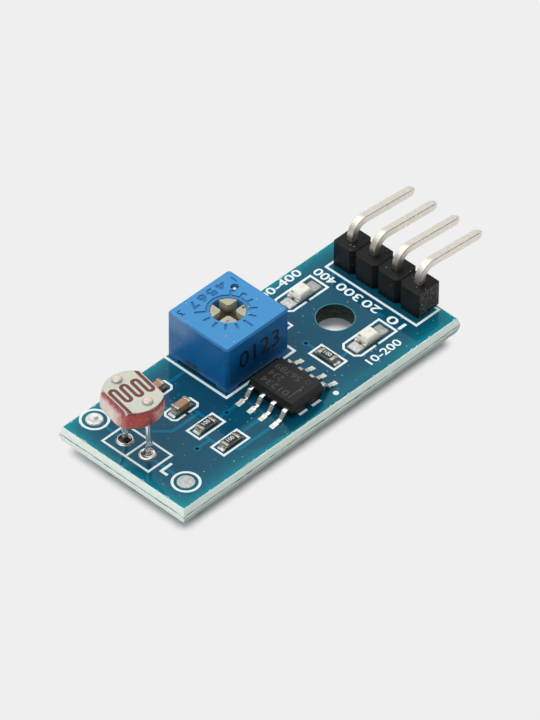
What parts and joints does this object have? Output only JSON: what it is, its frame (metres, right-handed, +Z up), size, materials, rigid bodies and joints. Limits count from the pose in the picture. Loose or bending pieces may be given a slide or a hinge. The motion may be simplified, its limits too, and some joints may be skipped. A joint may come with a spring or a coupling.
{
  "type": "light sensor module",
  "caption": "Small circuit board with a photoresistor on wires, a single-turn trimmer, a comparator, chip parts, indicator lamps and a bent pin row.",
  "frame": {"origin": "axis of the mounting hole at the underside of the board", "axes": "+X along the board towards the pins, +Y across the board, +Z up out of the component side"},
  "size_m": [0.0381, 0.014, 0.0092],
  "materials": {
    "solder_mask": "glossy blue solder mask on glass-epoxy laminate with scored edges",
    "alumina_disc": "pressed and fired ceramic",
    "cell_film": "sintered light-sensitive film, matt",
    "electrode_film": "matt metallised film",
    "red_resin": "brushed-on red resin, glossy and mottled",
    "tinned_wire": "tinned steel wire, satin",
    "blue_moulding": "moulded blue thermoplastic, satin",
    "rotor_moulding": "moulded cream thermoplastic, matt",
    "spring_metal": "stamped spring metal",
    "seal_rubber": "moulded silicone rubber",
    "track_ink": "printed and fired resistive film",
    "potting_resin": "cast resin",
    "black_moulding": "transfer-moulded epoxy, finely eroded",
    "silicon": "polished silicon",
    "copper_alloy": "stamped copper alloy",
    "tinned_lead": "matt tin plate",
    "insulator_moulding": "moulded black thermoplastic, satin, snapped at both ends",
    "pin_tin": "drawn square wire, tin plated",
    "resistor_body": "alumina with a black glaze on top",
    "capacitor_body": "fired dielectric, satin",
    "chip_end_metal": "tin-plated chip ends",
    "lamp_laminate": "white laminate",
    "lamp_resin": "milky moulded resin",
    "lamp_chip": "bare chip",
    "solder": "solder, bright where it wetted and satin elsewhere"
  },
  "bodies": {
    "module": {"circuit_board": "solder_mask", "photoresistor_ceramic": "alumina_disc", "photoresistor_cell_film": "cell_film", "photoresistor_electrode_film": "electrode_film", "photoresistor_coating": "red_resin", "photoresistor_lead_1": "tinned_wire", "photoresistor_lead_2": "tinned_wire", "trimmer_housing": "blue_moulding", "trimmer_seal": "seal_rubber", "trimmer_plate": "alumina_disc", "trimmer_track": "track_ink", "trimmer_base": "potting_resin", "comparator_package": "black_moulding", "comparator_die": "silicon", "comparator_die_pad": "copper_alloy", "header_insulator": "insulator_moulding", "photoresistor_solder": "solder", "trimmer_solder": "solder", "header_solder": "solder", "comparator_solder": "solder", "chip_solder": "solder", "spare_pad_solder": "solder", "trimmer_pin_1": "tinned_wire", "trimmer_pin_2": "tinned_wire", "trimmer_pin_3": "tinned_wire", "comparator_lead_1": "tinned_lead", "comparator_lead_2": "tinned_lead", "comparator_lead_3": "tinned_lead", "comparator_lead_4": "tinned_lead", "comparator_lead_5": "tinned_lead", "comparator_lead_6": "tinned_lead", "comparator_lead_7": "tinned_lead", "comparator_lead_8": "tinned_lead", "header_pin_1": "pin_tin", "header_pin_2": "pin_tin", "header_pin_3": "pin_tin", "header_pin_4": "pin_tin", "resistor_1_body": "resistor_body", "resistor_2_body": "resistor_body", "resistor_3_body": "resistor_body", "resistor_4_body": "resistor_body", "resistor_1_ends": "chip_end_metal", "resistor_2_ends": "chip_end_metal", "resistor_3_ends": "chip_end_metal", "resistor_4_ends": "chip_end_metal", "capacitor_1_body": "capacitor_body", "capacitor_2_body": "capacitor_body", "capacitor_1_ends": "chip_end_metal", "capacitor_2_ends": "chip_end_metal", "signal_lamp_base": "lamp_laminate", "signal_lamp_terminals": "chip_end_metal", "signal_lamp_lens": "lamp_resin", "signal_lamp_die": "lamp_chip", "power_lamp_base": "lamp_laminate", "power_lamp_terminals": "chip_end_metal", "power_lamp_lens": "lamp_resin", "power_lamp_die": "lamp_chip"},
    "rotor": {"trimmer_rotor": "rotor_moulding", "trimmer_wiper": "spring_metal"}
  },
  "joints": [
    {"name": "trimmer_turn", "type": "hinge", "parent": "module", "child": "rotor", "pos_m": [-0.00927, 0.00317, 0.0062], "axis": [0, 0, 1], "range_deg": [-130, 130]}
  ]
}
